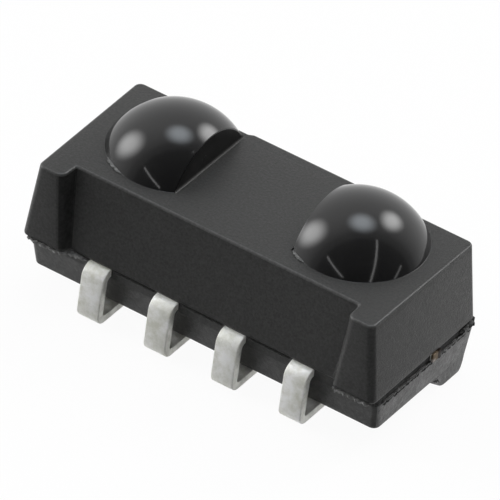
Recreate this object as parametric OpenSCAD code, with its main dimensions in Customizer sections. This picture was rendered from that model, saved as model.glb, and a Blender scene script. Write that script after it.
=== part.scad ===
// Surface-mount infrared remote receiver with two lens domes and four folded leads.
// The part stands on its lead feet and rear rib: Z = 0 is the board, the leads face -Y and the domes +Z.
// The origin is on the board, in the middle of the part's length and depth. Millimetres.

/* [Body] */
// Length of the upper mould half where it meets the lower one
body_length = 6.62; // [6.4:0.01:7]
// Length of the flat top face
top_length = 6.26; // [6:0.01:6.5]
// Depth from the front edge of the parting plane to the middle of the back
body_depth = 2.83; // [2.7:0.01:3.1]
// Height of the whole part, from the board to the tops of the domes
part_height = 3.14; // [2.9:0.01:3.5]
// Height of the lower mould half
lower_height = 0.69; // [0.6:0.01:0.9]
// Gap between the board and the underside of the body
standoff = 0.31; // [0.2:0.01:0.4]
// Radius of the upright corners
corner_radius = 0.12; // [0.06:0.01:0.2]
// Slope of the upper half's back, from the parting plane to the top
back_taper = 0.08; // [0.02:0.01:0.15]
// How far the lower half stays inside the upper half at each end
lower_inset = 0.03; // [0.01:0.01:0.1]
// Slope of the lower half's ends, down to the underside
lower_taper = 0.05; // [0:0.01:0.1]
// How far the lower half stays behind the front edge of the parting plane
lower_front_inset = 0.08; // [0.05:0.01:0.15]
// Slope of the lower half's front, down to the underside
lower_front_taper = 0.1; // [0.02:0.01:0.2]
// How far the lower half stays inside the middle of the back
lower_back_inset = 0.12; // [0.01:0.01:0.15]
// Slope of the lower half's back, down to the underside
lower_back_taper = 0.03; // [0.02:0.01:0.1]
// Depth of the groove at each end, beside the sheet between the mould halves
groove = 0.07; // [0.04:0.01:0.12]

/* [Front posts and recess] */
// Width of an end post at the top
post_width = 0.4; // [0.3:0.01:0.6]
// Extra width of an end post at the parting plane
post_flare = 0.1; // [0.02:0.01:0.2]
// How far the posts stand out past the front edge of the parting plane
post_standout = 0.12; // [0.04:0.01:0.16]
// Slope of the posts' front, from the parting plane to the top
post_taper = 0.04; // [0:0.01:0.1]
// Depth of the ledge under the recessed front
ledge = 0.04; // [0.02:0.01:0.08]
// Slope of the recessed front, from the ledge to the top
recess_taper = 0.245; // [0.1:0.005:0.35]

/* [Back] */
// Length of the raised middle of the back
back_pad_length = 2.16; // [1.5:0.02:3]
// How far the raised middle stands out of the back
back_pad = 0.08; // [0.03:0.01:0.15]
// Depth of the rear rib on the board
rib_depth = 0.62; // [0.4:0.01:0.9]
// Slope of the rear rib's front
rib_slope = 0.37; // [0.1:0.01:0.5]
// Slope of the rear rib's back
rib_back_taper = 0.01; // [0:0.01:0.08]

/* [Domes] */
// Radius of the sphere that forms a dome
dome_radius = 1.22; // [1.1:0.01:1.35]
// Height of a dome above the top face
dome_rise = 0.72; // [0.5:0.01:0.9]
// Distance between the two dome centres
dome_spacing = 3.44; // [3.2:0.01:3.6]
// Distance of the dome centres behind the middle of the part
dome_setback = 0.32; // [0.2:0.01:0.4]
// Distance from a dome's centre to the upright face that cuts it off
dome_cut = 0.62; // [0.4:0.01:0.9]

/* [Leads] */
// Distance between neighbouring leads
lead_pitch = 1.27; // [1.2:0.01:1.35]
// Width of a lead
lead_width = 0.41; // [0.3:0.01:0.5]
// Thickness of the sheet that the leads are stamped from
sheet = 0.15; // [0.1:0.01:0.2]
// How far the leads stand out of the front edge of the parting plane
lead_standout = 0.17; // [0.12:0.01:0.25]
// Outer radius of the bend at the shoulder
shoulder_radius = 0.22; // [0.21:0.01:0.3]
// Outer radius of the bend at the board
heel_radius = 0.2; // [0.2:0.01:0.3]
// Length of a foot, from the outer face of the lead
foot_length = 0.85; // [0.6:0.01:1]

/* [Inside] */
// Width of the bonding pads inside the two middle leads
pad_width = 0.75; // [0.5:0.01:0.9]
// Gap between the bonding pads and the chip carrier
pad_gap = 0.22; // [0.15:0.01:0.3]
// Margin of the chip carrier around the outer chips
carrier_margin = 0.18; // [0.12:0.01:0.22]
// Width of the tie bars
tie_width = 0.22; // [0.15:0.01:0.3]
// How far the cut tie bars stand out of the upper half
tie_stub = 0.02; // [0.01:0.01:0.1]
// Diameter of the locking holes in the chip carrier
lock_hole = 0.24; // [0.15:0.01:0.3]
// Edge of a photodiode chip
photodiode_edge = 0.95; // [0.7:0.01:1]
// Length of the receiver chip
receiver_length = 0.95; // [0.7:0.01:1.1]
// Depth of the receiver chip
receiver_depth = 0.8; // [0.6:0.01:0.85]
// Thickness of the chips
chip_height = 0.25; // [0.15:0.01:0.3]
// Thickness of the adhesive under a chip
adhesive = 0.02; // [0.01:0.005:0.04]
// How far the adhesive shows around a chip
adhesive_edge = 0.03; // [0.01:0.005:0.05]
// Diameter of a bond wire
wire_diameter = 0.025; // [0.02:0.005:0.03]
// Diameter of the ball and of the stitch at the ends of a wire
bond_diameter = 0.08; // [0.06:0.005:0.1]
// Height of the ball and of the stitch
bond_height = 0.03; // [0.03:0.005:0.04]
// Angle at which a long wire leaves the straight line between its ends
wire_arch = 45; // [30:1:70]
// The same angle for the short wires to the chip carrier
short_wire_arch = 75; // [72:1:85]
// Distance from a chip's edge to the middle of its bonds
bond_inset = 0.07; // [0.06:0.01:0.08]

/* [Flash] */
// How far the flash at the right end stands out of the lower half
flash_reach = 0.05; // [0.02:0.01:0.1]
// Thickness of the flash
flash_height = 0.04; // [0.02:0.01:0.08]

/* [Hidden] */
$fn = 64;
LEFT = -1;
RIGHT = 1;
// Thin slab that a drafted block starts and ends with
skin = 0.01;
// Facets of a rounded corner's circle, and of a wire's
corner_facets = 32;
wire_facets = 16;

// Depth of the whole part, and the planes that follow from it
part_depth = body_depth + lead_standout;
lead_front = -part_depth / 2;
front_edge = lead_front + lead_standout;
back_face = part_depth / 2;

// Levels above the board
parting_z = standoff + lower_height;
top_z = part_height - dome_rise;
sheet_z = parting_z - sheet;
chip_z = parting_z + adhesive;
chip_top = chip_z + chip_height;

// Half lengths, and the back of the end parts
upper_half = body_length / 2;
top_half = top_length / 2;
lower_half_length = upper_half - lower_inset;
underside_half = lower_half_length - lower_taper;
end_back = back_face - back_pad;
lower_front = front_edge + lower_front_inset;
lower_back = back_face - lower_back_inset;
underside_back = lower_back - lower_back_taper;

// Domes
dome_x = dome_spacing / 2;
dome_z = part_height - dome_radius;
dome_size = 2 * dome_radius;

// Chip carrier and bonding pads
outer_lead_x = 1.5 * lead_pitch;
inner_lead_x = 0.5 * lead_pitch;
carrier_half = dome_x + photodiode_edge / 2 + carrier_margin;
carrier_front = dome_setback - photodiode_edge / 2 - carrier_margin;
carrier_back = dome_setback + photodiode_edge / 2 + carrier_margin;
pad_back = carrier_front - pad_gap;
pad_front = front_edge + 2 * corner_radius;
pad_bond_y = (pad_front + pad_back) / 2;
lock_x = (receiver_length / 2 + dome_x - photodiode_edge / 2) / 2;
ground_bond_y = (dome_setback + receiver_depth / 2 + carrier_back) / 2;
ground_bond_x = receiver_length / 4;

package_colour = [0.2, 0.2, 0.195];
tin_colour = [0.78, 0.78, 0.76];
silicon_colour = [0.3, 0.32, 0.38];
adhesive_colour = [0.6, 0.6, 0.58];
gold_colour = [0.9, 0.72, 0.3];

// One level of a drafted block: the corners of a rounded rectangle from x0 to x1 and y0 to y1
module level(x0, x1, y0, y1, z, thick = skin) {
    for (x = [x0 + corner_radius, x1 - corner_radius])
        for (y = [y0 + corner_radius, y1 - corner_radius])
            translate([x, y, z]) cylinder(r = corner_radius, h = thick, $fn = corner_facets);
}

// Upper mould half without its posts: the recessed front leans back to the top
module upper_core() {
    hull() {
        level(-upper_half, upper_half, front_edge + ledge, end_back, parting_z);
        level(-top_half, top_half, front_edge + ledge + recess_taper, end_back - back_taper,
              top_z - skin);
    }
}

// Post at one end of the front, wider at the parting plane than at the top
module post(side) {
    foot_width = post_width + post_flare + upper_half - top_half;
    mirror([side == LEFT ? 1 : 0, 0, 0])
        hull() {
            level(upper_half - foot_width, upper_half, front_edge - post_standout, 0, parting_z);
            level(top_half - post_width, top_half, front_edge - post_standout + post_taper, 0,
                  top_z - skin);
        }
}

// Middle of the back, which stands a little further out than the ends
module back_middle() {
    half = back_pad_length / 2;
    hull() {
        level(-half, half, 0, back_face, parting_z);
        level(-half, half, 0, back_face - back_taper, top_z - skin);
    }
}

// Lower mould half, narrowing towards the board
module lower_body() {
    hull() {
        level(-lower_half_length, lower_half_length, lower_front, lower_back, sheet_z - skin);
        level(-underside_half, underside_half, lower_front + lower_front_taper, underside_back,
              standoff);
    }
}

// Layer between the mould halves, as thick as the sheet and set back in a groove at the ends
module sheet_layer() {
    half = upper_half - groove;
    hull()
        level(-half, half, front_edge + ledge, lower_back, sheet_z - skin, sheet + 2 * skin);
}

// Rib along the back edge of the underside, which stands on the board
module rear_rib() {
    rear = underside_back - rib_back_taper;
    hull() {
        level(-underside_half, underside_half, rear - rib_depth - rib_slope, underside_back, standoff);
        level(-underside_half, underside_half, rear - rib_depth, rear, 0);
    }
}

// Dome at one end, cut off by an upright face on the side of the other dome
module dome(side) {
    back_limit = back_face - back_taper;
    intersection() {
        translate([side * dome_x, dome_setback, dome_z]) sphere(r = dome_radius);
        mirror([side == LEFT ? 1 : 0, 0, 0])
            translate([dome_x - dome_cut, back_limit - 2 * dome_size, top_z - skin])
                cube([dome_size, 2 * dome_size, dome_size]);
    }
}

// Ridge of flash along the right end of the lower half
module end_flash() {
    y0 = front_edge + corner_radius;
    translate([0, y0, sheet_z - flash_height / 2])
        cube([lower_half_length + flash_reach, end_back - corner_radius - y0, flash_height]);
}

module package_outside() {
    upper_core();
    for (side = [LEFT, RIGHT]) {
        post(side);
        dome(side);
    }
    back_middle();
    sheet_layer();
    lower_body();
    rear_rib();
    end_flash();
}

module package() {
    color(package_colour)
        difference() {
            package_outside();
            ground_frame();
            supply_lead();
            output_lead();
            for (side = [LEFT, RIGHT]) {
                photodiode(side);
                die_attach(side * dome_x, photodiode_edge, photodiode_edge);
                wire_to_photodiode(side);
                wire_to_lead(side);
                wire_to_ground(side);
            }
            receiver_ic();
            die_attach(0, receiver_length, receiver_depth);
        }
}

// Side view of a lead from the body down to the board, with Y to the right and Z up
module lead_side() {
    shoulder_y = lead_front + shoulder_radius;
    shoulder_z = parting_z - shoulder_radius;
    heel_y = lead_front + heel_radius;
    // shoulder
    translate([shoulder_y, shoulder_z])
        intersection() {
            difference() {
                circle(r = shoulder_radius);
                circle(r = shoulder_radius - sheet);
            }
            translate([-shoulder_radius, 0]) square(shoulder_radius);
        }
    // upright run
    translate([lead_front, heel_radius]) square([sheet, shoulder_z - heel_radius]);
    // heel
    translate([heel_y, heel_radius])
        intersection() {
            difference() {
                circle(r = heel_radius);
                circle(r = heel_radius - sheet);
            }
            translate([-heel_radius, -heel_radius]) square(heel_radius);
        }
    // foot
    translate([heel_y, 0]) square([foot_length - heel_radius, sheet]);
}

// Folded outer part of a lead at x
module lead_outer(x) {
    translate([x - lead_width / 2, 0, 0])
        rotate([90, 0, 90]) linear_extrude(lead_width) lead_side();
}

// Flat run of a lead at x, from the shoulder back to y1
module lead_run(x, y1) {
    y0 = lead_front + shoulder_radius;
    translate([x - lead_width / 2, y0]) square([lead_width, y1 - y0]);
}

// Outer leads, chip carrier and tie bars, stamped as one sheet
module ground_frame() {
    tie_half = upper_half + tie_stub;
    color(tin_colour) {
        for (side = [LEFT, RIGHT])
            lead_outer(side * outer_lead_x);
        translate([0, 0, sheet_z])
            linear_extrude(sheet)
                difference() {
                    union() {
                        for (side = [LEFT, RIGHT])
                            lead_run(side * outer_lead_x, dome_setback);
                        translate([-carrier_half, carrier_front])
                            square([2 * carrier_half, carrier_back - carrier_front]);
                        translate([-tie_half, dome_setback - tie_width / 2])
                            square([2 * tie_half, tie_width]);
                    }
                    for (side = [LEFT, RIGHT])
                        translate([side * lock_x, dome_setback]) circle(d = lock_hole);
                }
    }
}

// Middle lead with its bonding pad
module middle_lead(side) {
    x = side * inner_lead_x;
    color(tin_colour) {
        lead_outer(x);
        translate([0, 0, sheet_z])
            linear_extrude(sheet) {
                lead_run(x, pad_back);
                translate([x - pad_width / 2, pad_front]) square([pad_width, pad_back - pad_front]);
            }
    }
}

module supply_lead() {
    middle_lead(LEFT);
}

module output_lead() {
    middle_lead(RIGHT);
}

// Chip of the given length and depth, centred at x on its adhesive
module chip(x, length, depth) {
    color(silicon_colour)
        translate([x - length / 2, dome_setback - depth / 2, chip_z])
            cube([length, depth, chip_height]);
}

module photodiode(side) {
    chip(side * dome_x, photodiode_edge, photodiode_edge);
}

module receiver_ic() {
    chip(0, receiver_length, receiver_depth);
}

// Adhesive under a chip of the given length and depth at x
module die_attach(x, length, depth) {
    color(adhesive_colour)
        translate([x - length / 2 - adhesive_edge, dome_setback - depth / 2 - adhesive_edge, parting_z])
            cube([length + 2 * adhesive_edge, depth + 2 * adhesive_edge, adhesive]);
}

// Bond wire from a ball at one point to a stitch at another, in an arc of a circle
module bond_wire(from, to, arch) {
    run = norm([to[0] - from[0], to[1] - from[1]]);
    turn = atan2(to[1] - from[1], to[0] - from[0]);
    chord = norm(to - from);
    tilt = atan2(to[2] - from[2], run);
    bend = chord / 2 / sin(arch);
    color(gold_colour) {
        translate(from) cylinder(d = bond_diameter, h = bond_height);
        translate(to) cylinder(d = bond_diameter, h = bond_height);
        translate(from + [0, 0, bond_height / 2])
            rotate([0, -tilt, turn])
                translate([chord / 2, 0, -bend * cos(arch)])
                    rotate([90, 0, 0])
                        rotate([0, 0, 90 - arch])
                            rotate_extrude(angle = 2 * arch, $fn = wire_facets)
                                translate([bend, 0]) circle(d = wire_diameter, $fn = wire_facets);
    }
}

module wire_to_photodiode(side) {
    from_x = dome_x - photodiode_edge / 2 + bond_inset;
    to_x = receiver_length / 2 - bond_inset;
    bond_wire([side * from_x, dome_setback, chip_top], [side * to_x, dome_setback, chip_top],
              wire_arch);
}

module wire_to_lead(side) {
    from_x = receiver_length / 2 - bond_inset;
    from_y = dome_setback - receiver_depth / 2 + bond_inset;
    bond_wire([side * from_x, from_y, chip_top], [side * inner_lead_x, pad_bond_y, parting_z],
              wire_arch);
}

module wire_to_ground(side) {
    x = side * ground_bond_x;
    from_y = dome_setback + receiver_depth / 2 - bond_inset;
    bond_wire([x, from_y, chip_top], [x, ground_bond_y, parting_z], short_wire_arch);
}

package();
ground_frame();
supply_lead();
output_lead();
photodiode(LEFT);  // photodiode_left
photodiode(RIGHT);  // photodiode_right
receiver_ic();
die_attach(LEFT * dome_x, photodiode_edge, photodiode_edge);  // die_attach_left
die_attach(RIGHT * dome_x, photodiode_edge, photodiode_edge);  // die_attach_right
die_attach(0, receiver_length, receiver_depth);  // die_attach_ic
wire_to_photodiode(LEFT);  // wire_left_to_ic
wire_to_photodiode(RIGHT);  // wire_right_to_ic
wire_to_lead(LEFT);  // wire_ic_to_supply
wire_to_lead(RIGHT);  // wire_ic_to_output
wire_to_ground(LEFT);  // wire_ic_to_ground_left
wire_to_ground(RIGHT);  // wire_ic_to_ground_right
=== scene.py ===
import math

import bmesh
import bpy
from mathutils import Matrix, Vector, noise

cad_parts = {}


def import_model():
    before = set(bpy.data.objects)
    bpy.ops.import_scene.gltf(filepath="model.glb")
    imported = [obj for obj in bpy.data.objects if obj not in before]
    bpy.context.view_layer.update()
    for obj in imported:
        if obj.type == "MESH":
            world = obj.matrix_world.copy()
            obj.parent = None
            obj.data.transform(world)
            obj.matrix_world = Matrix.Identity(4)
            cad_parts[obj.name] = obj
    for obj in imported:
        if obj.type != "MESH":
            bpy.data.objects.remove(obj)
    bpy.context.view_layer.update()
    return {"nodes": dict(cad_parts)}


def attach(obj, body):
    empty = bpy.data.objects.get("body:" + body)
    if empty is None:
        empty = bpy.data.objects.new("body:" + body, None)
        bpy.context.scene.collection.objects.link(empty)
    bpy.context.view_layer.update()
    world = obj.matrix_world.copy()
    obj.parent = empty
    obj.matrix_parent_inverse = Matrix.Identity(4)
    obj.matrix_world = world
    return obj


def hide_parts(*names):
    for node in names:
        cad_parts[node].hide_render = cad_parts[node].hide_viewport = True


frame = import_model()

# Sizes below are in millimetres, and meshes are scaled to metres when they are made.
MM = 0.001

# Upper mould half. A pair is the value at the parting and the value at the top. The ends stand further out
# at the back by the spread.
PARTING_Z = 1.0
TOP_Z = 2.42
END_X = (3.31, 3.13)
POST_Y = (-1.45, -1.41)
RECESS_Y = (-1.29, -1.045)
POST_INNER_X = (2.56, 2.66)
RECESS_END_X = (2.47, 2.645)
END_BACK_Y = (1.43, 1.375)
BACK_SPREAD = (0.0, 0.035)
BACK_Y = (1.50, 1.42)
BACK_PAD_X = 0.99
BACK_STEP = 0.09
CORNER = 0.12
POST_CORNER = (0.12, 0.145)
RECESS_FILLET = (0.06, 0.035)
BACK_STEP_FILLET = 0.02
BACK_PAD_CORNER = 0.07
EDGE = 0.036
LOW_EDGE = 0.05
LEAST_RADIUS = 0.004

# Inner faces of the posts, painted dark as the shade of the recess: their x, how far back they reach, and how
# much a face has to be turned towards the middle, for the left and the right post
NOTCH_X = (2.4, 2.8)
NOTCH_BACK_Y = -1.0
NOTCH_TURN = {-1: 0.34, 1: 0.8}

# Lower mould half. A pair is the value at the underside and the value at the sheet.
SHEET = 0.15
SHEET_Z = PARTING_Z - SHEET
UNDERSIDE_Z = 0.31
LOWER_END_X = (3.23, 3.28)
LOWER_FRONT_Y = (-1.15, -1.25)
LOWER_BACK_Y = (1.385, 1.44)
LOWER_BACK_SPREAD = 0.012
LOWER_CORNER = 0.09
UNDERSIDE_EDGE = 0.012
SHELF_EDGE = 0.008

# The rib's sides as (y, z), the heights of its sections, and the height up to which its ends are rough and
# painted lighter
RIB_FRONT = ((0.80, 0.0), (0.70, 0.03), (0.35, UNDERSIDE_Z))
RIB_BACK = ((1.28, 0.0), (1.335, 0.06), (1.365, 0.16), (1.385, UNDERSIDE_Z))
RIB_LEVELS = (0.0, 0.01, 0.02, 0.03, 0.06, 0.1, 0.16, UNDERSIDE_Z, UNDERSIDE_Z + 0.05)
RIB_LIT_END_Z = UNDERSIDE_Z - 0.03
RIB_FRONT_CORNER = 0.05
RIB_EDGE = 0.012

# The layer between the halves, beside the sheet, set into both of them, and the depth of its front wall
LAYER_END_X = 3.27
LAYER_FRONT_Y = RECESS_Y[0] + 0.02
LAYER_FRONT_DEPTH = 0.03
LAYER_Z = (SHEET_Z - 0.02, PARTING_Z + 0.04)

# Least part of a normal along an axis, for a face that lies flat across it or that faces its way
FLAT = 0.9
SIDEWAYS = 0.7

# Material slots of the moulding
MATTE, POLISHED, GROOVE_SHADE, LOWER, FLASH_HIGHLIGHT, ROUND, CUT, LOWER_END_LIT, NOTCH_SHADE = range(9)

# Material slots of the leads
PLATED, COPPER, SHEARED = range(3)

# Flash in general: length of a step, share of the width that it stands out by and how much noise adds or
# takes, steps over which it fades at its ends, share that is left there, and least width
FLASH_STEP = 0.025
FLASH_MEAN = 0.62
FLASH_SWING = 0.75
FLASH_FADE = 4
FLASH_TIP = 0.15
FLASH_LEAST = 0.004

# Noise of the flash: move per step for the coarse and the fine noise of its width and for that of its height,
# and the shares of the fine noise and of the height's
FLASH_COARSE = 0.37
FLASH_FINE = 1.1
FLASH_LIFT = 0.45
FLASH_FINE_SHARE = 0.6
FLASH_LIFT_SHARE = 0.6

# Ridges of flash along the ends, the second being a dark line of painted shadow under the first: slot, x, z,
# width, thickness, depth of the root, seed; then the y of their start, of the back corner and of their end,
# and how far they turn in there
RIDGES = ((MATTE, 3.282, SHEET_Z + 0.002, 0.026, 0.05, 0.03, 2.0),
          (GROOVE_SHADE, 3.274, SHEET_Z - 0.05, 0.024, 0.04, 0.06, 8.0))
RIDGE_Y = (-1.13, 1.34, 1.42)
RIDGE_TURN_IN = 0.02

# Lump of flash round each back corner, (x, y, z)
CORNER_FLASH = ((3.275, 1.0, 0.92), (3.285, 1.35, 0.93), (3.265, 1.42, 0.935), (3.18, 1.44, 0.935))

# Strip of painted shade on the rib's ends, just behind its front slope, (y, z)
RIB_SHADE_LINE = ((0.47, 0.285), (0.54, 0.24), (0.61, 0.19), (0.67, 0.15))
RIB_SHADE_X = LOWER_END_X[0] + 0.001

# Line of flash under the left post, from the left end to the first lead, and the stretch under the right post
FLASH_LEFT = ((-3.2, -1.435, 0.985), (-2.75, -1.435, 0.98), (-2.62, -1.425, 0.98), (-2.5, -1.36, 0.975),
              (-2.3, -1.3, 0.965), (-2.14, -1.29, 0.955))
FLASH_RIGHT_X = (2.55, 3.25)
FLASH_RIGHT_Z = PARTING_Z - 0.012
FLASH_INSET = 0.012

# Thin flash between the leads: its distance from a lead's middle, and its height
BETWEEN_LEADS = 0.24
BETWEEN_LEADS_Z = 0.985

# Domes, cut off inwards of their centre by an upright plane, with the small forms round their foot, which are
# sunk a little into the top
DOME_X = 1.72
DOME_Y = 0.32
DOME_R = 1.22
DOME_Z = 3.14 - DOME_R
DOME_CUT = 0.62
DOME_LIP = 0.02
FOOT_R = math.sqrt(DOME_R ** 2 - (TOP_Z - DOME_Z) ** 2)
DOME_ROOT = 0.02
FILLET = 0.014
FILLET_START = 0.65
FILLET_SWEEP = 66.0
COVE = 0.04
COVE_PAST = 0.01
SUNK = 0.001
DOME_BACK_Y = BACK_Y[1] - 0.004
FILLET_BACK_Y = BACK_Y[1] - 0.01

# Painted highlight at a dome's foot, a light ridge where the rounded foot shows a light line: from and to, in
# degrees from the front, for the left and the right dome
FOOT_HIGHLIGHT = {-1: (-38.0, -15.0), 1: (-32.0, -16.0)}
FOOT_HIGHLIGHT_LIFT = 0.008

# Leads and chip carrier
PITCH = 1.27
LEAD_W = 0.41
LEAD_FRONT = -1.5
LEAD_LEAN = 4.5
LEAD_ROOT = (-0.9, -1.1)
LEAD_PLATE_Y = -1.0
LEAD_EDGE = 0.022
SHOULDER_R = 0.22
HEEL_R = 0.20
FOOT_END = -0.65
SHEET_CORNER = 0.015
SHEET_EDGE = 0.008
CARRIER = (-2.375, 2.375, -0.335, 0.975)
TIE_X = 3.33
TIE_W = 0.22
CUT_END = 0.05
PAD_W = 0.75
PAD_Y = (-1.09, -0.555)
OVERLAP = 0.02

# Finishes of the mould compound, some with painted shade or painted light in their colour: name, darkest and
# lightest colour, roughness, grain per metre, height of the grain in metres, specular level
COMPOUNDS = {
    MATTE: ("package_compound", (0.026, 0.026, 0.0252), (0.041, 0.041, 0.0398),
            (0.28, 0.4), 24000.0, 6e-6, 0.3),
    # Painted shade: in the groove, on the shelf, under the end ridge and along the rib
    GROOVE_SHADE: ("groove_painted_shade", (0.018, 0.018, 0.0176), (0.05, 0.05, 0.049),
             (0.6, 0.8), 16000.0, 12e-6, 0.15),
    LOWER: ("lower_compound", (0.014, 0.014, 0.0137), (0.032, 0.032, 0.031),
            (0.33, 0.5), 18000.0, 8e-6, 0.6),
    # Light flash: real flash, lightened as a painted highlight along its edge, and the painted highlight at
    # the domes' foot
    FLASH_HIGHLIGHT: ("flash_painted_highlight", (0.07, 0.07, 0.068), (0.22, 0.22, 0.215),
             (0.4, 0.6), 16000.0, 8e-6, 0.5),
    ROUND: ("edge_compound", (0.034, 0.034, 0.033), (0.06, 0.06, 0.059),
            (0.28, 0.4), 24000.0, 4e-6, 0.5),
    CUT: ("cut_compound", (0.004, 0.004, 0.0037), (0.009, 0.009, 0.0085),
          (0.25, 0.35), 3000.0, 6e-7, 0.25),
    # Rougher compound of the lower ends, painted lighter where the ends catch light from the floor
    LOWER_END_LIT: ("lower_end_painted_light", (0.02, 0.02, 0.0195), (0.075, 0.075, 0.073),
                (0.33, 0.5), 12000.0, 16e-6, 1.0),
    # Painted shade on the inner faces of the posts
    NOTCH_SHADE: ("notch_painted_shade", (0.013, 0.013, 0.0127), (0.023, 0.023, 0.0225),
            (0.6, 0.8), 16000.0, 6e-6, 0.15),
}

# Colours of the domes and of a tie bar's cut end
DOME_DARK = (0.005, 0.005, 0.0055)
DOME_LIGHT = (0.009, 0.009, 0.009)
COPPER_BARE = (0.2, 0.15, 0.1)
COPPER_DARK = (0.02, 0.011, 0.007)
COPPER_TINNED = (0.5, 0.45, 0.42)

# Studio: the tent's opening (azimuth, elevation) and its brightness by the cosine of the angle from it
TENT_OPENING = (43.0, 3.0)
TENT_LEVELS = ((-1.0, 0.97), (-0.4, 0.95), (-0.15, 0.81), (0.05, 0.6), (0.18, 0.37), (0.26, 0.34),
               (0.36, 0.17), (0.6, 0.12), (1.0, 0.1))
LAMP_DISTANCE = 0.25
LAMP_CORE = 0.15
FLOOR_RADIUS = 0.6
FLOOR_Z = -0.00001
FLOOR_WHITE = 0.95

# Camera, fitted to the photograph: view from (azimuth, elevation), and the pixel where the point
# (0, ORIGIN_Y, 0) is seen
FRAME_PIXELS = 500
FOCAL_PIXELS = 9000.0
PIXELS_PER_MM = 64.22
VIEW_FROM = (31.0, 37.89)
ROLL = 5.77
ORIGIN_PIXEL = (241.75, 326.44)
ORIGIN_Y = -0.0375


def lerp(pair, t):
    """Value between the two of a pair, with t from 0 to 1."""
    return pair[0] + (pair[1] - pair[0]) * t


def link(name, mesh, smooth_angle=35.0):
    """Puts a mesh in the scene, with edges sharper than the angle kept sharp."""
    obj = bpy.data.objects.new(name, mesh)
    bpy.context.scene.collection.objects.link(obj)
    for poly in mesh.polygons:
        poly.use_smooth = True
    mesh.set_sharp_from_angle(angle=math.radians(smooth_angle))
    return obj


def to_mesh(bm, name):
    """Mesh of a bmesh, with double points joined and normals outwards. The bmesh is freed."""
    bmesh.ops.remove_doubles(bm, verts=bm.verts, dist=1e-7)
    bmesh.ops.recalc_face_normals(bm, faces=bm.faces)
    mesh = bpy.data.meshes.new(name)
    bm.to_mesh(mesh)
    bm.free()
    return mesh


# Outlines

def outline(corners, inset=0.0, steps=7):
    """Closed outline with a round at each corner. corners are (x, y, radius), counterclockwise;
    inset moves every side inwards."""
    count = len(corners)
    points = [Vector(c[:2]) for c in corners]
    sides = []
    for i in range(count):
        a, b = points[i], points[(i + 1) % count]
        along = (b - a).normalized()
        inward = Vector((-along.y, along.x))
        sides.append((a + inward * inset, along))
    result = []
    for i in range(count):
        (p, u), (q, v) = sides[i - 1], sides[i]
        cross = u.x * v.y - u.y * v.x
        w = q - p
        corner = p + u * ((w.x * v.y - w.y * v.x) / cross)
        radius = max(corners[i][2] - math.copysign(inset, cross), LEAST_RADIUS)
        half = math.acos(max(-1.0, min(1.0, -u.dot(v)))) / 2
        tangent = radius / math.tan(half)
        centre = corner + (v - u).normalized() * (radius / math.sin(half))
        start = corner - u * tangent - centre
        turn = math.copysign(math.pi - 2 * half, cross)
        for k in range(steps + 1):
            angle = turn * k / steps
            c, s = math.cos(angle), math.sin(angle)
            result.append(centre + Vector((start.x * c - start.y * s, start.x * s + start.y * c)))
    return result


def mirrored(right_half):
    """Corners of a whole outline from those of its right half, which run from front to back."""
    left = [(-x, y, r) for x, y, r in reversed(right_half)]
    return right_half + left


def loft(bm, sections, slot=0, edge_slot=None, edge_rings=0):
    """Closed skin over sections, each (outline, z), from the bottom up. The topmost rings of faces can have
    a slot of their own. Returns the faces."""
    rings = []
    for ring, z in sections:
        rings.append([bm.verts.new((p.x * MM, p.y * MM, z * MM)) for p in ring])
    count = len(rings[0])
    faces = []
    for low, high in zip(rings, rings[1:]):
        for i in range(count):
            j = (i + 1) % count
            faces.append(bm.faces.new((low[i], low[j], high[j], high[i])))
    sides = len(faces)
    faces.append(bm.faces.new(list(reversed(rings[0]))))
    faces.append(bm.faces.new(rings[-1]))
    for i, face in enumerate(faces):
        on_edge = sides - edge_rings * count <= i < sides
        face.material_index = edge_slot if on_edge else slot
    bm.normal_update()
    return faces


def rounded_levels(z0, z1, r0, r1, between=8, arc=5):
    """Heights and insets of a wall from z0 to z1, rounded by r0 at the bottom and r1 at the top."""
    levels = []
    for k in range(arc + 1):
        a = math.pi / 2 * k / arc
        levels.append((z0 + r0 * (1 - math.sin(a)), r0 * (1 - math.cos(a))))
    levels.reverse()
    for k in range(1, between):
        levels.append((z0 + r0 + (z1 - r1 - z0 - r0) * k / between, 0.0))
    for k in range(arc + 1):
        a = math.pi / 2 * k / arc
        levels.append((z1 - r1 * (1 - math.sin(a)), r1 * (1 - math.cos(a))))
    return levels


def upper_outline(z, inset):
    """Outline of the upper half at a height: recess, posts, ends and the raised middle of the back."""
    t = (z - PARTING_Z) / (TOP_Z - PARTING_Z)
    end = lerp(END_X, t)
    right = [
        (lerp(RECESS_END_X, t), lerp(RECESS_Y, t), lerp(RECESS_FILLET, t)),
        (lerp(POST_INNER_X, t), lerp(POST_Y, t), lerp(POST_CORNER, t)),
        (end, lerp(POST_Y, t), CORNER),
        (end + lerp(BACK_SPREAD, t), lerp(END_BACK_Y, t), CORNER),
        (BACK_PAD_X + BACK_STEP, lerp(END_BACK_Y, t), BACK_STEP_FILLET),
        (BACK_PAD_X, lerp(BACK_Y, t), BACK_PAD_CORNER),
    ]
    return outline(mirrored(right), inset)


def lower_outline(z, inset):
    """Outline of the lower half at a height."""
    t = (z - UNDERSIDE_Z) / (SHEET_Z - UNDERSIDE_Z)
    right = [
        (lerp(LOWER_END_X, t), lerp(LOWER_FRONT_Y, t), CORNER),
        (lerp(LOWER_END_X, t) + LOWER_BACK_SPREAD, lerp(LOWER_BACK_Y, t), LOWER_CORNER),
    ]
    return outline(mirrored(right), inset)


def rib_side(profile, z):
    """Y of the front or back of the rib at a height."""
    for (y0, z0), (y1, z1) in zip(profile, profile[1:]):
        if z <= z1:
            return y0 + (y1 - y0) * (z - z0) / (z1 - z0)
    return profile[-1][0]


# Package

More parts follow.
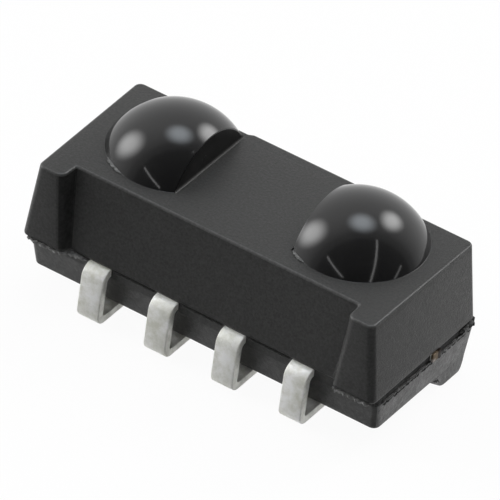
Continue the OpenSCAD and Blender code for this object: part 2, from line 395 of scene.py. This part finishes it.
def build_upper_half(bm):
    """Upper half, with painted shade on the inner faces of the posts: a darker compound there."""
    arc = 5
    levels = rounded_levels(PARTING_Z, TOP_Z, LOW_EDGE, EDGE, 14, arc)
    for face in loft(bm, [(upper_outline(z, inset), z) for z, inset in levels], MATTE, ROUND, arc):
        centre = face.calc_center_median() / MM
        side = math.copysign(1, centre.x)
        by_post = NOTCH_X[0] < abs(centre.x) < NOTCH_X[1] and centre.y < NOTCH_BACK_Y
        on_wall = PARTING_Z + LOW_EDGE < centre.z < TOP_Z - EDGE
        # A post's inner faces take the darker compound, painted shade where the recess lies in shadow
        if by_post and on_wall and -face.normal.x * side > NOTCH_TURN[side]:
            face.material_index = NOTCH_SHADE


def build_layer(bm):
    """Layer of compound beside the sheet: the bottom of the groove, painted dark as shade, and the wall
    between the leads.
    """
    corners = [(LAYER_END_X, LAYER_FRONT_Y, CORNER), (LAYER_END_X, LOWER_BACK_Y[1], CORNER)]
    ring = outline(mirrored(corners))
    # The groove's faces take the dark compound, painted shade inside the groove
    for face in loft(bm, [(ring, z) for z in LAYER_Z], GROOVE_SHADE):
        if face.calc_center_median().y < (LAYER_FRONT_Y + LAYER_FRONT_DEPTH) * MM:
            face.material_index = LOWER


def build_lower_half(bm):
    """Lower half down to the underside, without the rib."""
    levels = rounded_levels(UNDERSIDE_Z, SHEET_Z, UNDERSIDE_EDGE, SHELF_EDGE)
    for face in loft(bm, [(lower_outline(z, inset), z) for z, inset in levels], LOWER):
        # Flat faces such as the shelf under the layer take the dark compound, painted shade
        if face.normal.z > FLAT:
            face.material_index = GROOVE_SHADE
        # End faces take the rougher compound, painted lighter as lit by the floor
        elif abs(face.normal.x) > SIDEWAYS:
            face.material_index = LOWER_END_LIT


def build_rib(bm):
    """Rear rib, which stands on the board."""
    sections = []
    end = LOWER_END_X[0]
    for z in RIB_LEVELS:
        flare = LOWER_BACK_SPREAD * min(1.0, z / UNDERSIDE_Z)
        corners = [(end, rib_side(RIB_FRONT, z), RIB_FRONT_CORNER),
                   (end + flare, rib_side(RIB_BACK, z), LOWER_CORNER)]
        sections.append((outline(mirrored(corners), RIB_EDGE - min(z, RIB_EDGE)), z))
    for face in loft(bm, sections, LOWER):
        low = face.calc_center_median().z < RIB_LIT_END_Z * MM
        # Low ends of the rib: rougher, and painted lighter as lit by the floor
        if low and abs(face.normal.x) > SIDEWAYS:
            face.material_index = LOWER_END_LIT


def dome_point(side, x, y, z):
    """Place of a point of a dome, given from its centre."""
    return (side * (DOME_X + x) * MM, (DOME_Y + y) * MM, (DOME_Z + z) * MM)


def build_dome(bm, side):
    """Sphere cut by an upright plane towards the other dome, with a softly broken edge."""
    cut_angle = math.acos(DOME_CUT / DOME_R)
    steps = 84
    last = math.pi - cut_angle - DOME_LIP / DOME_R
    rings = []
    for k in range(1, steps + 1):
        a = last * k / steps
        rings.append((DOME_R * math.cos(a), DOME_R * math.sin(a)))
    flat_r = DOME_R * math.sin(cut_angle) - DOME_LIP
    x0, r0 = rings[-1]
    for t in (0.35, 0.7, 1.0):
        a = t * math.pi / 2
        rings.append((x0 - (DOME_CUT + x0) * math.sin(a), r0 + (flat_r - r0) * (1 - math.cos(a))))
    first_flat = len(rings)
    for t in (0.8, 0.5, 0.2):
        rings.append((-DOME_CUT, flat_r * t))
    around = 160
    grid = []
    for x, radius in rings:
        ring = []
        for i in range(around):
            angle = 2 * math.pi * i / around
            ring.append(bm.verts.new(dome_point(side, x, radius * math.cos(angle), radius * math.sin(angle))))
        grid.append(ring)
    faces = []
    for low, high in zip(grid, grid[1:]):
        for i in range(around):
            j = (i + 1) % around
            faces.append(bm.faces.new((low[i], low[j], high[j], high[i])))
    pole = bm.verts.new(dome_point(side, DOME_R, 0.0, 0.0))
    for i in range(around):
        faces.append(bm.faces.new((pole, grid[0][(i + 1) % around], grid[0][i])))
    faces.append(bm.faces.new(grid[-1]))
    for i, face in enumerate(faces):
        flat = i >= (first_flat - 1) * around and len(face.verts) != 3
        face.material_index = CUT if flat else POLISHED


def trim(bm, point, normal):
    """Cuts off what lies beyond a plane and closes the cut."""
    geometry = bm.verts[:] + bm.edges[:] + bm.faces[:]
    cut = bmesh.ops.bisect_plane(bm, geom=geometry, dist=1e-9, plane_co=point, plane_no=normal,
                                 clear_outer=True)
    edges = [e for e in cut["geom_cut"] if isinstance(e, bmesh.types.BMEdge)]
    made = bmesh.ops.contextual_create(bm, geom=edges)
    for face in made["faces"]:
        face.material_index = POLISHED


def dome_mesh(side):
    """Mesh of one dome, cut off below the top face and at the back face."""
    bm = bmesh.new()
    build_dome(bm, side)
    bmesh.ops.remove_doubles(bm, verts=bm.verts, dist=1e-8)
    trim(bm, (0, 0, (TOP_Z - DOME_ROOT) * MM), (0, 0, -1))
    trim(bm, (0, DOME_BACK_Y * MM, 0), (0, 1, 0))
    return to_mesh(bm, "dome_part")


def build_fillet(bm, side):
    """Thin ring of compound where a dome meets the top face."""
    steps = 6
    around = 180
    limit = math.pi - math.acos(DOME_CUT / FOOT_R)
    grid = []
    for k in range(steps + 1):
        a = math.radians(FILLET_SWEEP) * k / steps
        radius = FOOT_R + FILLET * (FILLET_START - math.sin(a))
        z = TOP_Z + FILLET * (1 - math.cos(a)) - SUNK
        ring = []
        for i in range(around + 1):
            angle = -limit + 2 * limit * i / around
            y = min(DOME_Y + radius * math.sin(angle), FILLET_BACK_Y)
            ring.append(bm.verts.new((side * (DOME_X + radius * math.cos(angle)) * MM, y * MM, z * MM)))
        grid.append(ring)
    for low, high in zip(grid, grid[1:]):
        for i in range(around):
            face = bm.faces.new((low[i], low[i + 1], high[i + 1], high[i]))
            face.material_index = POLISHED


def build_foot_highlight(bm, side):
    """Light ridge at the front of a dome's foot, a painted highlight."""
    steps = 8
    points = []
    for k in range(steps + 1):
        bearing = math.radians(lerp(FOOT_HIGHLIGHT[side], k / steps))
        out = Vector((math.sin(bearing), -math.cos(bearing), 0.0))
        place = Vector((side * DOME_X, DOME_Y, TOP_Z + FOOT_HIGHLIGHT_LIFT)) + out * FOOT_R
        points.append((tuple(place), tuple(out)))
    # Light compound, a painted highlight
    build_flash(bm, points, width=0.05, thickness=0.036, slot=FLASH_HIGHLIGHT, seed=41.0 + side, root_depth=0.03)


def build_cove(bm, side):
    """Small cove along the foot of a dome's cut face."""
    steps = 6
    along_steps = 20
    half = math.sqrt(FOOT_R ** 2 - DOME_CUT ** 2) + COVE_PAST
    strips = []
    for k in range(steps + 1):
        a = math.pi / 2 * k / steps
        x = side * (DOME_X - DOME_CUT - COVE * (1 - math.sin(a)))
        z = TOP_Z + COVE * (1 - math.cos(a)) - SUNK
        strips.append([bm.verts.new((x * MM, (DOME_Y - half + 2 * half * i / along_steps) * MM, z * MM))
                       for i in range(along_steps + 1)])
    for low, high in zip(strips, strips[1:]):
        for i in range(along_steps):
            corners = (low[i], low[i + 1], high[i + 1], high[i])
            bm.faces.new(corners[::side])


def build_flash(bm, points, width, thickness, slot, seed, root_depth=0.06):
    """Ragged ridge of flash along points, each (place, outward direction). It stands out by FLASH_MEAN of
    the width, more or less by noise, and fades at both ends."""
    fine = []
    for (a, na), (b, nb) in zip(points, points[1:]):
        steps = max(2, int((Vector(b) - Vector(a)).length / FLASH_STEP))
        for k in range(steps):
            t = k / steps
            fine.append((Vector(a).lerp(Vector(b), t), Vector(na).lerp(Vector(nb), t).normalized()))
    fine.append((Vector(points[-1][0]), Vector(points[-1][1])))
    rings = []
    for i, (p, out) in enumerate(fine):
        wobble = noise.noise(Vector((i * FLASH_COARSE, seed, 0.0)))
        wobble = wobble + FLASH_FINE_SHARE * noise.noise(Vector((i * FLASH_FINE, seed, 4.0)))
        from_end = min(i, len(fine) - 1 - i)
        fade = min(1.0, FLASH_TIP + from_end / FLASH_FADE)
        reach = width * (FLASH_MEAN + FLASH_SWING * wobble) * fade
        rise = thickness * FLASH_LIFT_SHARE * noise.noise(Vector((i * FLASH_LIFT, seed + 9.0, 0.0)))
        lift = Vector((0, 0, rise))
        half = Vector((0, 0, thickness / 2 * fade))
        root = p - out * root_depth
        tip = p + out * max(reach, FLASH_LEAST)
        ring = [root - half, tip - half * 0.5 + lift, tip + half * 0.5 + lift, root + half]
        rings.append([bm.verts.new(v * MM) for v in ring])
    faces = []
    for low, high in zip(rings, rings[1:]):
        for i in range(4):
            j = (i + 1) % 4
            faces.append(bm.faces.new((low[i], low[j], high[j], high[i])))
    faces.append(bm.faces.new(rings[0]))
    faces.append(bm.faces.new(list(reversed(rings[-1]))))
    for face in faces:
        face.material_index = slot


def along(ring, x0, x1):
    """Points of the front of an outline between two x, just below the parting, each with its outward
    direction."""
    picked = []
    count = len(ring)
    for i, p in enumerate(ring):
        if x0 <= p.x <= x1 and p.y < 0:
            side = ring[(i + 1) % count] - ring[i - 1]
            picked.append(((p.x, p.y, FLASH_RIGHT_Z), (side.y, -side.x, 0.0)))
    return sorted(picked)


def build_end_flash(bm, side):
    """Flash on one end of the body, with a dark line of painted shadow under its ridge and a strip of painted
    shade along the rib's front slope.
    """
    out = (float(side), 0.0, 0.0)
    back_corner = (side * 0.7, 0.7, 0.0)
    back = (0.0, 1.0, 0.0)
    start, corner, end = RIDGE_Y
    # The second ridge is a dark line of painted shadow under the flash
    for slot, x, z, width, thickness, root, seed in RIDGES:
        points = [((side * x, start, z), out), ((side * x, corner, z), out),
                  ((side * (x - RIDGE_TURN_IN), end, z), back_corner)]
        build_flash(bm, points, width, thickness, slot, seed + side, root)
    places = [(side * x, y, z) for x, y, z in CORNER_FLASH]
    points = list(zip(places, (out, out, back_corner, back)))
    build_flash(bm, points, width=0.065, thickness=0.11, slot=MATTE, seed=14.0 + side, root_depth=0.08)
    # Dark strip of painted shade along the rib's front slope
    points = [((side * RIB_SHADE_X, y, z), out) for y, z in RIB_SHADE_LINE]
    build_flash(bm, points, width=0.008, thickness=0.09, slot=GROOVE_SHADE, seed=31.0 + side, root_depth=0.03)


def build_front_flash(bm):
    """Flash under the two posts and in the gaps between the leads; under the posts it is light, a painted
    highlight along its edge.
    """
    front = (0.0, -1.0, 0.0)
    left = [(place, front) for place in FLASH_LEFT]
    # Light compound under the posts, a painted highlight along the flash
    build_flash(bm, left, width=0.055, thickness=0.065, slot=FLASH_HIGHLIGHT, seed=5.0)
    right = along(upper_outline(PARTING_Z, FLASH_INSET), *FLASH_RIGHT_X)
    build_flash(bm, right, width=0.055, thickness=0.06, slot=FLASH_HIGHLIGHT, seed=11.0)
    for gap, lead in enumerate((-1.5, -0.5, 0.5)):
        x0 = lead * PITCH + BETWEEN_LEADS
        x1 = lead * PITCH + PITCH - BETWEEN_LEADS
        points = [((x, RECESS_Y[0], BETWEEN_LEADS_Z), front) for x in (x0, x1)]
        build_flash(bm, points, width=0.018, thickness=0.02, slot=LOWER, seed=20.0 + gap)


def package():
    """The whole moulding as one object."""
    bm = bmesh.new()
    build_upper_half(bm)
    build_layer(bm)
    build_lower_half(bm)
    build_rib(bm)
    for side in (-1, 1):
        build_end_flash(bm, side)
    build_front_flash(bm)
    for side in (-1, 1):
        mesh = dome_mesh(side)
        bm.from_mesh(mesh)
        bpy.data.meshes.remove(mesh)
        build_fillet(bm, side)
        build_foot_highlight(bm, side)
        build_cove(bm, side)
    return link("package_moulding", to_mesh(bm, "package_moulding"), 30.0)


# Leads

def lead_path():
    """Middle line of a folded lead in the YZ plane, from inside the body to the end of its foot."""
    mid = SHEET / 2
    lean = math.radians(LEAD_LEAN)
    path = [(y, PARTING_Z - mid) for y in LEAD_ROOT]
    shoulder = Vector((LEAD_FRONT + SHOULDER_R, PARTING_Z - SHOULDER_R))
    outer, inner = SHOULDER_R - mid, HEEL_R - mid
    out = Vector((-math.cos(lean), math.sin(lean)))
    start = shoulder + out * outer
    drop = (start.y - HEEL_R - out.y * inner) / math.cos(lean)
    end = start - Vector((math.sin(lean), math.cos(lean))) * drop
    heel = end - out * inner
    steps = 12
    for k in range(steps + 1):
        a = math.pi / 2 + (math.pi / 2 - lean) * k / steps
        path.append(tuple(shoulder + Vector((math.cos(a), math.sin(a))) * outer))
    for k in range(1, 6):
        path.append(tuple(start.lerp(end, k / 6)))
    for k in range(steps + 1):
        a = math.pi - lean + (math.pi / 2 + lean) * k / steps
        path.append(tuple(heel + Vector((math.cos(a), math.sin(a))) * inner))
    path.append(((heel.x + FOOT_END) / 2, mid))
    path.append((FOOT_END, mid))
    return path


def sweep_lead(bm, x):
    """Rolled strip with softly rounded edges, swept along the lead's middle line."""
    path = lead_path()
    section = []
    for cx, cz, start in ((1, 1, 0), (-1, 1, 90), (-1, -1, 180), (1, -1, 270)):
        for k in range(5):
            a = math.radians(start + 22.5 * k)
            section.append((cx * (LEAD_W / 2 - LEAD_EDGE) + LEAD_EDGE * math.cos(a),
                            cz * (SHEET / 2 - LEAD_EDGE) + LEAD_EDGE * math.sin(a)))
    rings = []
    for i, (y, z) in enumerate(path):
        before = Vector(path[max(i - 1, 0)])
        after = Vector(path[min(i + 1, len(path) - 1)])
        along = (after - before).normalized()
        up = Vector((along.y, -along.x))
        rings.append([bm.verts.new(((x + sx) * MM, (y + up.x * sz) * MM, (z + up.y * sz) * MM))
                      for sx, sz in section])
    count = len(section)
    for low, high in zip(rings, rings[1:]):
        for i in range(count):
            j = (i + 1) % count
            bm.faces.new((low[i], low[j], high[j], high[i]))
    bm.faces.new(rings[0])
    bm.faces.new(list(reversed(rings[-1])))


def plate(bm, x0, x1, y0, y1, z0, z1):
    """Flat piece of the sheet, with broken edges."""
    corners = [(x, y, SHEET_CORNER) for x, y in ((x0, y0), (x1, y0), (x1, y1), (x0, y1))]
    levels = ((SHEET_EDGE, z0), (0, z0 + SHEET_EDGE), (0, z1 - SHEET_EDGE), (SHEET_EDGE, z1))
    loft(bm, [(outline(corners, inset, 3), z) for inset, z in levels])


def lead_piece(name, xs, pads):
    """Folded leads at the given x, with the flat pads (x0, x1, y0, y1) that belong to the same sheet."""
    bm = bmesh.new()
    for x in xs:
        sweep_lead(bm, x)
    for x0, x1, y0, y1 in pads:
        plate(bm, x0, x1, y0, y1, SHEET_Z, PARTING_Z)
    bm.normal_update()
    for face in bm.faces:
        if abs(face.calc_center_median().x) > (TIE_X - CUT_END) * MM:
            face.material_index = COPPER
        elif abs(face.normal.x) > FLAT:
            face.material_index = SHEARED
    return link(name, to_mesh(bm, name), 40.0)


def leads():
    """The three pieces of the lead frame: leads 1 and 4 with the carrier and tie bars, lead 2, and lead 3."""
    outer = 1.5 * PITCH
    half = LEAD_W / 2
    carrier_end, carrier_front = CARRIER[1:3]
    pads = [CARRIER]
    for side in (-1, 1):
        ends = [side * (carrier_end - OVERLAP), side * (TIE_X - CUT_END), side * TIE_X]
        for a, b in zip(ends, ends[1:]):
            pads.append((min(a, b), max(a, b), DOME_Y - TIE_W / 2, DOME_Y + TIE_W / 2))
    for side in (-1, 1):
        pads.append((side * outer - half, side * outer + half, LEAD_PLATE_Y, carrier_front + OVERLAP))
    pieces = {"ground_frame": lead_piece("ground_frame_leads", (-outer, outer), pads)}
    for side, node in ((-1, "supply_lead"), (1, "output_lead")):
        x = side * PITCH / 2
        pieces[node] = lead_piece(node + "_strip", (x,), [(x - PAD_W / 2, x + PAD_W / 2, *PAD_Y)])
    return pieces


# Materials

def new_material(name):
    """Material with its node tree, its shader, and the object coordinates that its textures use."""
    material = bpy.data.materials.new(name)
    material.use_nodes = True
    tree = material.node_tree
    place = tree.nodes.new("ShaderNodeTexCoord").outputs["Object"]
    return material, tree, tree.nodes["Principled BSDF"], place


def feed(tree, node, inputs):
    """Gives each socket of a node a value or another node's output."""
    for socket, value in inputs.items():
        if isinstance(value, bpy.types.NodeSocket):
            tree.links.new(value, node.inputs[socket])
        else:
            node.inputs[socket].default_value = value


def add_node(tree, kind, inputs, **settings):
    """New shader node with its settings and inputs."""
    node = tree.nodes.new("ShaderNode" + kind)
    for name, value in settings.items():
        setattr(node, name, value)
    feed(tree, node, inputs)
    return node


def add_noise(tree, place, scale, detail=3.0, roughness=0.6):
    """Value of a noise texture at a place."""
    inputs = {"Vector": place, "Scale": scale, "Detail": detail, "Roughness": roughness}
    return add_node(tree, "TexNoise", inputs).outputs["Fac"]


def spread(tree, value, low, high, start=0.3, end=0.7):
    """Value between low and high, as another one goes from start to end."""
    inputs = {"Value": value, "From Min": start, "From Max": end, "To Min": low, "To Max": high}
    return add_node(tree, "MapRange", inputs).outputs["Result"]


def tint(tree, value, low, high, start=0.35, end=0.65):
    """Colour between low and high, as a value goes from start to end."""
    ramp = add_node(tree, "ValToRGB", {"Fac": value})
    for stop, position, colour in zip(ramp.color_ramp.elements, (start, end), (low, high)):
        stop.position = position
        stop.color = (*colour, 1)
    return ramp.outputs["Color"]


def bump(tree, height, distance):
    """Normal raised by a height from 0 to 1, times a distance in metres."""
    return add_node(tree, "Bump", {"Height": height, "Distance": distance, "Strength": 1.0}).outputs["Normal"]


def compound(name, dark, light, rough, grain, grain_height, specular):
    """Filled mould compound: near-black, with the fine grain of the mould."""
    material, tree, shader, place = new_material(name)
    feed(tree, shader, {
        "Base Color": tint(tree, add_noise(tree, place, grain, 4.0), dark, light),
        "Roughness": spread(tree, add_noise(tree, place, grain * 0.4), *rough),
        "Normal": bump(tree, add_noise(tree, place, grain, 5.0, 0.7), grain_height),
        "Specular IOR Level": specular,
    })
    return material


def polished_compound():
    """The same compound where the mould is polished, on the domes."""
    material, tree, shader, place = new_material("dome_compound")
    feed(tree, shader, {
        "Base Color": tint(tree, add_noise(tree, place, 900.0), DOME_DARK, DOME_LIGHT),
        "Roughness": spread(tree, add_noise(tree, place, 1500.0), 0.07, 0.11),
        "Normal": bump(tree, add_noise(tree, place, 6000.0, 2.0), 4e-7),
        "IOR": 1.55,
    })
    return material


def tin(name, warm, clear):
    """Satin tin plating, mottled, with a warm cast in patches."""
    material, tree, shader, place = new_material(name)
    feed(tree, shader, {
        "Base Color": tint(tree, add_noise(tree, place, 2600.0, 5.0, 0.7), warm, clear, 0.36, 0.62),
        "Roughness": spread(tree, add_noise(tree, place, 7000.0), 0.4, 0.6),
        "Normal": bump(tree, add_noise(tree, place, 9000.0, 5.0, 0.7), 12e-6),
        "Metallic": 0.5,
    })
    return material


def cut_copper():
    """Sheared end of a tie bar: copper, smeared dark towards the back, with tin in the lower front corner."""
    material, tree, shader, place = new_material("cut_copper")
    split = add_node(tree, "SeparateXYZ", {"Vector": place})
    y, z = split.outputs["Y"], split.outputs["Z"]
    across = spread(tree, y, 0.0, 1.0, (DOME_Y - TIE_W * 0.05) * MM, (DOME_Y + TIE_W * 0.22) * MM)
    low = spread(tree, z, 1.0, 0.0, (SHEET_Z + SHEET * 0.3) * MM, (SHEET_Z + SHEET * 0.5) * MM)
    front = spread(tree, y, 1.0, 0.0, (DOME_Y - TIE_W * 0.3) * MM, (DOME_Y - TIE_W * 0.1) * MM)
    corner = add_node(tree, "Math", {0: low, 1: front}, operation="MULTIPLY")
    smear = add_node(tree, "Mix", {
        "Factor": corner.outputs["Value"],
        "A": tint(tree, across, COPPER_BARE, COPPER_DARK, 0.3, 0.7),
        "B": (*COPPER_TINNED, 1),
    }, data_type="RGBA")
    feed(tree, shader, {
        "Base Color": smear.outputs["Result"],
        "Roughness": spread(tree, add_noise(tree, place, 9000.0), 0.5, 0.7),
        "Normal": bump(tree, add_noise(tree, place, 16000.0), 4e-6),
        "Metallic": 0.6,
    })
    return material


def plain(name, low, high, scale, rough, metallic):
    """Even material with a slight variation of colour and gloss, for the pieces inside."""
    material, tree, shader, place = new_material(name)
    feed(tree, shader, {
        "Base Color": tint(tree, add_noise(tree, place, scale), low, high),
        "Roughness": spread(tree, add_noise(tree, place, scale * 2), *rough),
        "Normal": bump(tree, add_noise(tree, place, scale * 3), 1e-6),
        "Metallic": metallic,
    })
    return material


def set_material(obj, *materials):
    """Gives an object its materials, in the order of its slots."""
    if len(obj.data.materials) == 1 and len(materials) == 1:
        obj.data.materials[0] = materials[0]
        return
    for material in materials:
        obj.data.materials.append(material)


def dress():
    """Shows the moulding and the leads by pieces of their own, and gives every piece and solid a material."""
    finishes = [polished_compound() if slot == POLISHED else compound(*COMPOUNDS[slot])
                for slot in range(NOTCH_SHADE + 1)]
    body = package()
    set_material(body, *finishes)
    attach(body, "root")
    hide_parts("package")
    plated = tin("tin_plating", (0.72, 0.72, 0.64), (1.0, 1.0, 0.985))
    sheared = tin("sheared_edge", (0.62, 0.62, 0.57), (1.0, 1.0, 0.95))
    metals = {PLATED: plated, COPPER: cut_copper(), SHEARED: sheared}
    for node, piece in leads().items():
        set_material(piece, *[metals[slot] for slot in sorted(metals)])
        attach(piece, "root")
        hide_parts(node)
    silicon = plain("polished_silicon", (0.12, 0.13, 0.17), (0.2, 0.21, 0.26), 4000.0, (0.12, 0.2), 0.3)
    adhesive = plain("silver_adhesive", (0.4, 0.4, 0.38), (0.6, 0.6, 0.57), 12000.0, (0.4, 0.6), 0.5)
    gold = plain("gold_wire", (0.8, 0.56, 0.2), (0.95, 0.72, 0.32), 20000.0, (0.2, 0.3), 1.0)
    for name, solid in frame["nodes"].items():
        if name == "package":
            set_material(solid, finishes[MATTE])
        elif name.startswith("wire"):
            set_material(solid, gold)
        elif name.startswith("die_attach"):
            set_material(solid, adhesive)
        elif name.startswith("photodiode") or name == "receiver_ic":
            set_material(solid, silicon)
        else:
            set_material(solid, plated)


# Stage

def direction(azimuth, elevation):
    """Unit vector; azimuth in degrees from the front towards the right end, elevation above the floor."""
    a, e = math.radians(azimuth), math.radians(elevation)
    return Vector((math.sin(a) * math.cos(e), -math.cos(a) * math.cos(e), math.sin(e)))


def straight_view(tree, path):
    """1 for rays that come from the camera, straight or through glass, else 0."""
    inputs = {0: path.outputs["Is Camera Ray"], 1: path.outputs["Is Transmission Ray"]}
    return add_node(tree, "Math", inputs, operation="MAXIMUM").outputs["Value"]


def stage_object(name, bm, material, place=None):
    """Puts a mesh of the studio in the scene."""
    mesh = bpy.data.meshes.new(name)
    bm.to_mesh(mesh)
    bm.free()
    obj = bpy.data.objects.new(name, mesh)
    bpy.context.scene.collection.objects.link(obj)
    obj.matrix_world = place or Matrix()
    set_material(obj, material)
    return obj


def floor():
    """Pale floor that takes shadows and looks white, and that lets reflections see the tent below it."""
    material, tree, shader, _ = new_material("floor_white")
    feed(tree, shader, {"Base Color": (0.85, 0.85, 0.85, 1), "Roughness": 0.9})
    path = tree.nodes.new("ShaderNodeLightPath")
    glow = add_node(tree, "Emission", {"Color": (1, 1, 1, 1), "Strength": 1.0})
    seen = add_node(tree, "Math", {0: straight_view(tree, path), 1: FLOOR_WHITE}, operation="MULTIPLY")
    white = add_node(tree, "MixShader", {0: seen.outputs["Value"], 1: shader.outputs["BSDF"],
                                         2: glow.outputs["Emission"]})
    clear = add_node(tree, "BsdfTransparent", {})
    through = add_node(tree, "MixShader", {0: path.outputs["Is Glossy Ray"], 1: white.outputs["Shader"],
                                           2: clear.outputs["BSDF"]})
    feed(tree, tree.nodes["Material Output"], {"Surface": through.outputs["Shader"]})
    bm = bmesh.new()
    bmesh.ops.create_circle(bm, cap_ends=True, radius=FLOOR_RADIUS, segments=96)
    stage_object("floor", bm, material, Matrix.Translation((0, 0, FLOOR_Z)))


def world():
    """White tent that is open, and so darker, towards the front; plain white behind the part."""
    scene = bpy.context.scene
    scene.world = bpy.data.worlds.new("studio")
    scene.world.use_nodes = True
    tree = scene.world.node_tree
    coords = tree.nodes.new("ShaderNodeTexCoord")
    facing = add_node(tree, "VectorMath", {0: coords.outputs["Generated"], 1: direction(*TENT_OPENING)},
                      operation="DOT_PRODUCT")
    half = add_node(tree, "MapRange", {"Value": facing.outputs["Value"], "From Min": -1.0})
    ramp = add_node(tree, "ValToRGB", {"Fac": half.outputs["Result"]})
    stops = ramp.color_ramp.elements
    while len(stops) < len(TENT_LEVELS):
        stops.new(0.5)
    for stop, (cosine, level) in zip(stops, TENT_LEVELS):
        stop.position = (cosine + 1) / 2
        stop.color = (level, level, level, 1)
    tent = tree.nodes["Background"]
    feed(tree, tent, {"Color": ramp.outputs["Color"]})
    bright = add_node(tree, "Background", {"Color": (1, 1, 1, 1)})
    path = tree.nodes.new("ShaderNodeLightPath")
    mix = add_node(tree, "MixShader", {0: straight_view(tree, path), 1: tent.outputs["Background"],
                                       2: bright.outputs["Background"]})
    feed(tree, tree.nodes["World Output"], {"Surface": mix.outputs["Shader"]})


def lamp(name, bm, place=None):
    """Glowing mesh, unseen by the camera and without a shadow. Returns its node tree and its emission."""
    material = bpy.data.materials.new(name)
    material.use_nodes = True
    tree = material.node_tree
    tree.nodes.remove(tree.nodes["Principled BSDF"])
    glow = tree.nodes.new("ShaderNodeEmission")
    feed(tree, tree.nodes["Material Output"], {"Surface": glow.outputs["Emission"]})
    obj = stage_object(name, bm, material, place)
    obj.visible_camera = False
    obj.visible_shadow = False
    return tree, glow


def softbox(name, azimuth, elevation, width, height, turn, radiance, colour=(1, 1, 1)):
    """Oval panel of light at a direction from the part, brightest in the middle. Its width, height and turn
    are in degrees."""
    place = direction(azimuth, elevation) * LAMP_DISTANCE
    aim = place.to_track_quat("Z", "Y").to_matrix().to_4x4() @ Matrix.Rotation(math.radians(turn), 4, "Z")
    scale = Matrix.Diagonal((LAMP_DISTANCE * math.tan(math.radians(width / 2)),
                             LAMP_DISTANCE * math.tan(math.radians(height / 2)), 1.0, 1.0))
    bm = bmesh.new()
    bmesh.ops.create_circle(bm, cap_ends=True, radius=1.0, segments=48)
    tree, glow = lamp(name, bm, Matrix.Translation(place) @ aim @ scale)
    coords = tree.nodes.new("ShaderNodeTexCoord")
    reach = add_node(tree, "VectorMath", {0: coords.outputs["Object"]}, operation="LENGTH")
    inputs = {"Value": reach.outputs["Value"], "From Min": LAMP_CORE, "From Max": 1.0,
              "To Min": radiance, "To Max": 0.0}
    fade = add_node(tree, "MapRange", inputs, interpolation_type="SMOOTHSTEP")
    feed(tree, glow, {"Color": (*colour, 1), "Strength": fade.outputs["Result"]})
    clear = add_node(tree, "BsdfTransparent", {})
    both = add_node(tree, "AddShader", {0: glow.outputs["Emission"], 1: clear.outputs["BSDF"]})
    feed(tree, tree.nodes["Material Output"], {"Surface": both.outputs["Shader"]})


def strip(name, start, end, width, radiance):
    """Thin bar of light between two directions from the part."""
    a, b = direction(*start) * LAMP_DISTANCE, direction(*end) * LAMP_DISTANCE
    across = a.cross(b).normalized() * (LAMP_DISTANCE * math.tan(math.radians(width / 2)))
    bm = bmesh.new()
    bm.faces.new([bm.verts.new(v) for v in (a - across, a + across, b + across, b - across)])
    tree, glow = lamp(name, bm)
    feed(tree, glow, {"Strength": radiance})


def light():
    """Three soft lamps, which show as the spots on the domes, and three bars, which show as the streaks."""
    world()
    softbox("lamp_left", -73.5, 26.0, 42.0, 56.0, -32.0, 5.2)
    softbox("lamp_top", -161.0, 80.0, 44.0, 40.0, 0.0, 3.8, (0.86, 0.93, 1.0))
    softbox("lamp_back_right", 160.0, 43.5, 32.0, 46.0, 36.0, 5.8)
    strip("bar_front", (-23.0, 31.0), (13.0, 14.5), 2.2, 2.4)
    strip("bar_right", (95.6, 63.0), (52.5, 9.2), 2.6, 2.2)
    strip("bar_right_end", (104.8, 16.2), (88.0, 5.5), 2.2, 1.8)


def camera():
    """Camera at the photograph's angle, placed so that ORIGIN_PIXEL shows its point."""
    scene = bpy.context.scene
    data = bpy.data.cameras.new("camera")
    obj = bpy.data.objects.new("camera", data)
    scene.collection.objects.link(obj)
    data.sensor_width = 36.0
    data.lens = FOCAL_PIXELS / FRAME_PIXELS * data.sensor_width
    data.clip_start = 0.01
    data.clip_end = 5.0
    back = direction(*VIEW_FROM)
    right = (-back).cross(Vector((0, 0, 1))).normalized()
    up = right.cross(-back)
    c, s = math.cos(math.radians(ROLL)), math.sin(math.radians(ROLL))
    right, up = right * c + up * s, up * c - right * s
    distance = FOCAL_PIXELS / PIXELS_PER_MM
    shift_x = (ORIGIN_PIXEL[0] - FRAME_PIXELS / 2) / PIXELS_PER_MM
    shift_y = (FRAME_PIXELS / 2 - ORIGIN_PIXEL[1]) / PIXELS_PER_MM
    place = Vector((0, ORIGIN_Y, 0)) - right * shift_x - up * shift_y + back * distance
    obj.matrix_world = Matrix.Translation(place * MM) @ Matrix((right, up, back)).transposed().to_4x4()
    scene.camera = obj


camera()
floor()
dress()
light()
bpy.context.scene.view_settings.view_transform = "Standard"
